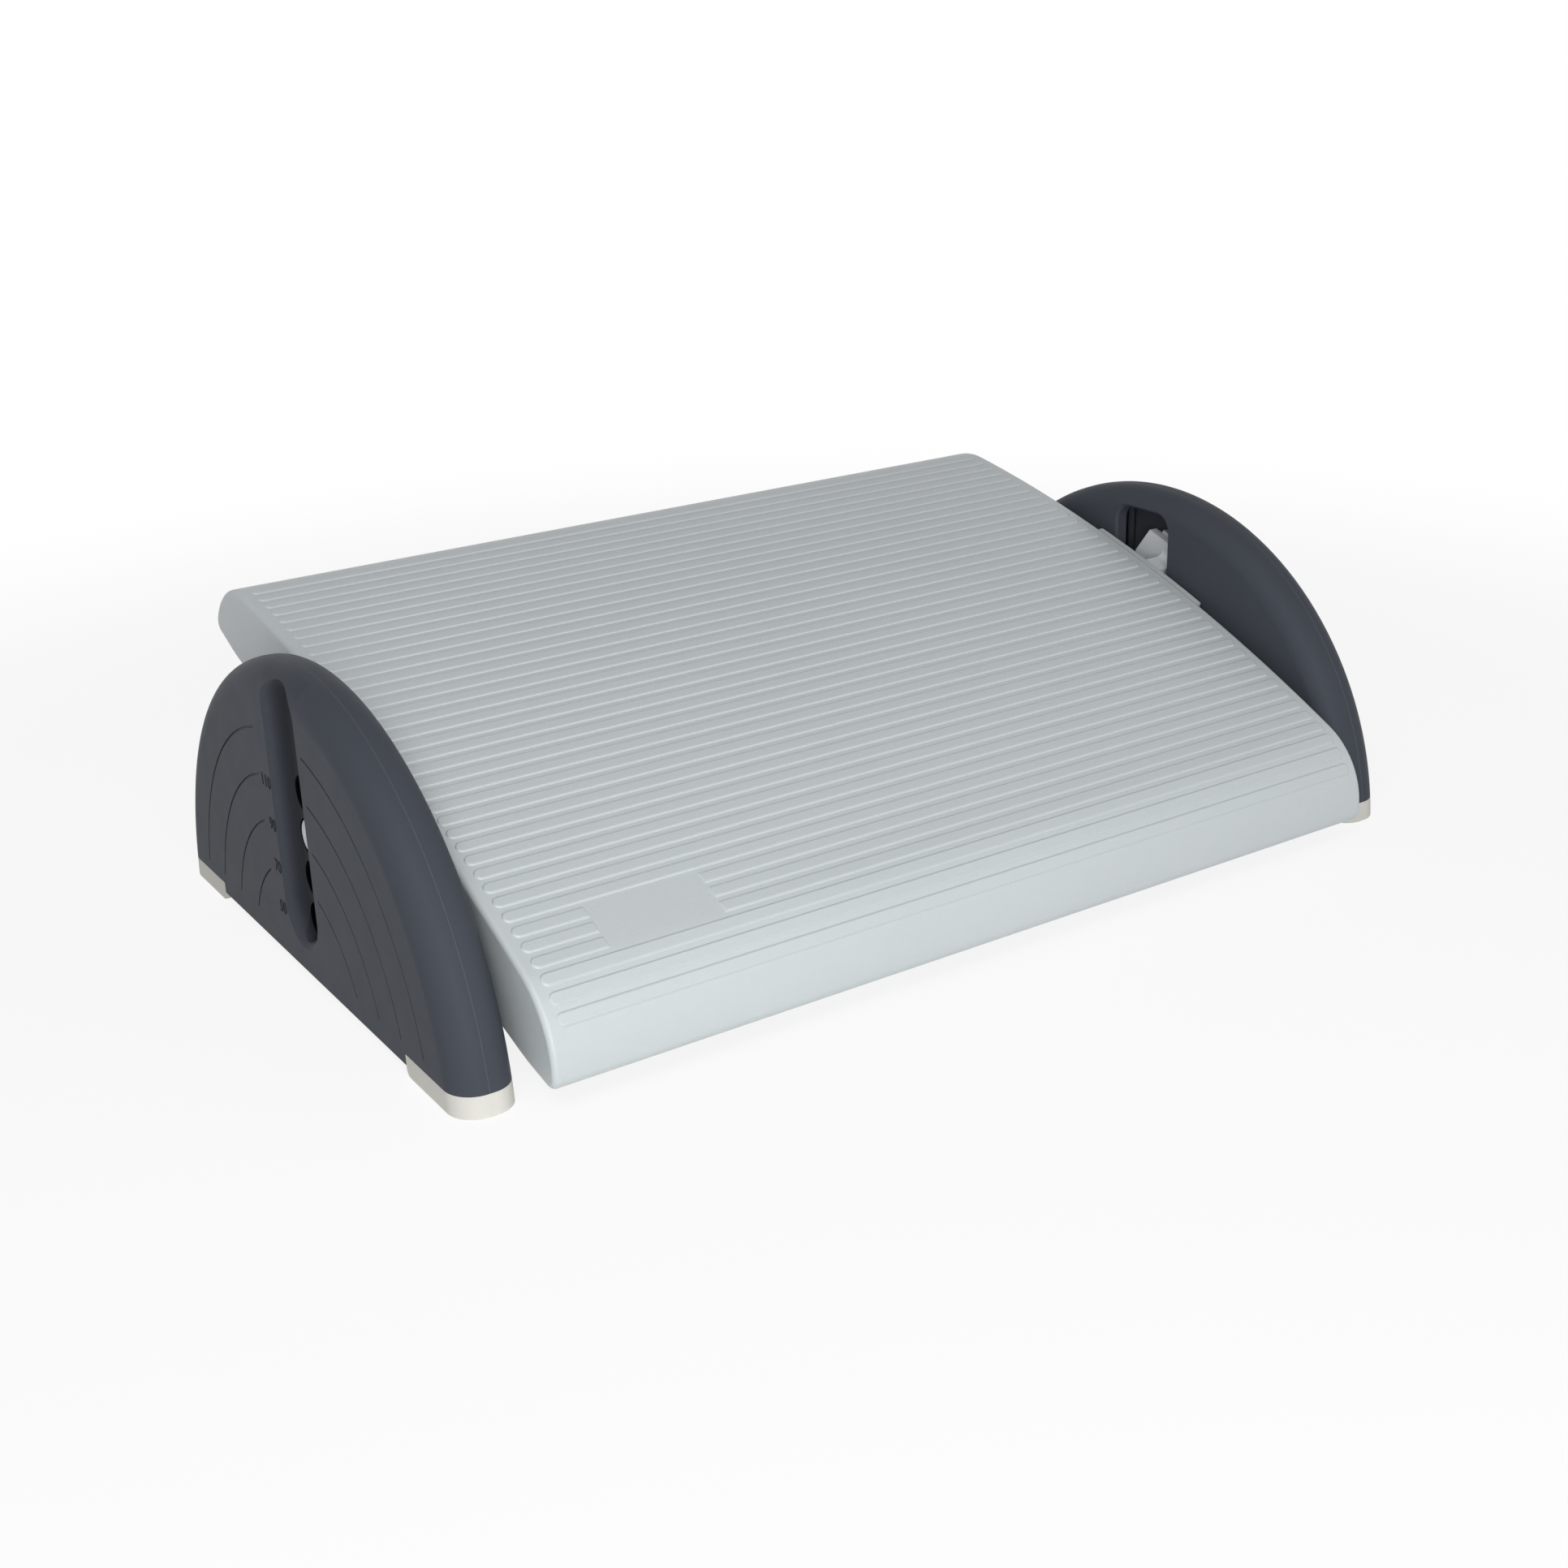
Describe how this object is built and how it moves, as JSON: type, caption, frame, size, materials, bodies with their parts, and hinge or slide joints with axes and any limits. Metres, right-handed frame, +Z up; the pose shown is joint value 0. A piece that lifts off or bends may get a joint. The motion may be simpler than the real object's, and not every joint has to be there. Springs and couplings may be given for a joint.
{
  "type": "adjustable footrest",
  "caption": "Under-desk footrest: a crowned, ribbed deck that tilts and changes height between two dome-shaped side supports on rubber feet.",
  "frame": {"origin": "on the floor, under the middle of the footrest", "axes": "+X to the user's right, across the footrest; +Y to the rear, away from the user; +Z up"},
  "size_m": [0.515, 0.3392, 0.1435],
  "materials": {
    "deck_plastic": "light grey moulded, fine texture",
    "support_plastic": "anthracite moulded, satin",
    "foot_rubber": "warm light grey, matt",
    "arm_plastic": "light grey moulded",
    "washer_plastic": "dark, low friction",
    "steel": "zinc plated"
  },
  "bodies": {
    "supports": {"left_outer_shell": "support_plastic", "left_inner_shell": "support_plastic", "left_shell_screws": "steel", "left_front_foot": "foot_rubber", "left_rear_foot": "foot_rubber", "right_outer_shell": "support_plastic", "right_inner_shell": "support_plastic", "right_shell_screws": "steel", "right_front_foot": "foot_rubber", "right_rear_foot": "foot_rubber"},
    "lift": {"left_guide_shoe": "washer_plastic", "left_shoe_plate": "washer_plastic", "left_friction_washer": "washer_plastic", "right_guide_shoe": "washer_plastic", "right_shoe_plate": "washer_plastic", "right_friction_washer": "washer_plastic"},
    "deck": {"deck": "deck_plastic", "left_pivot_arm": "arm_plastic", "left_arm_head": "arm_plastic", "left_arm_screws": "steel", "left_button_spring": "steel", "left_spring_cap": "arm_plastic", "right_pivot_arm": "arm_plastic", "right_arm_head": "arm_plastic", "right_arm_screws": "steel", "right_button_spring": "steel", "right_spring_cap": "arm_plastic"},
    "left_button": {"left_lock_button": "arm_plastic"},
    "right_button": {"right_lock_button": "arm_plastic"}
  },
  "joints": [
    {"name": "height", "type": "slide", "parent": "supports", "child": "lift", "axis": [0, 0, 1], "range_m": [-0.04, 0.02]},
    {"name": "tilt", "type": "hinge", "parent": "lift", "child": "deck", "pos_m": [0, 0.00004, 0.067], "axis": [1, 0, 0], "range_deg": [-17.5, 2.5]},
    {"name": "left_button", "type": "slide", "parent": "deck", "child": "left_button", "axis": [1, 0, 0], "range_m": [0, 0.006], "stiffness_N_per_m": 250, "springref_m": -0.004, "deforming": ["left_button_spring"]},
    {"name": "right_button", "type": "slide", "parent": "deck", "child": "right_button", "axis": [-1, 0, 0], "range_m": [0, 0.006], "stiffness_N_per_m": 250, "springref_m": -0.004, "deforming": ["right_button_spring"]}
  ]
}
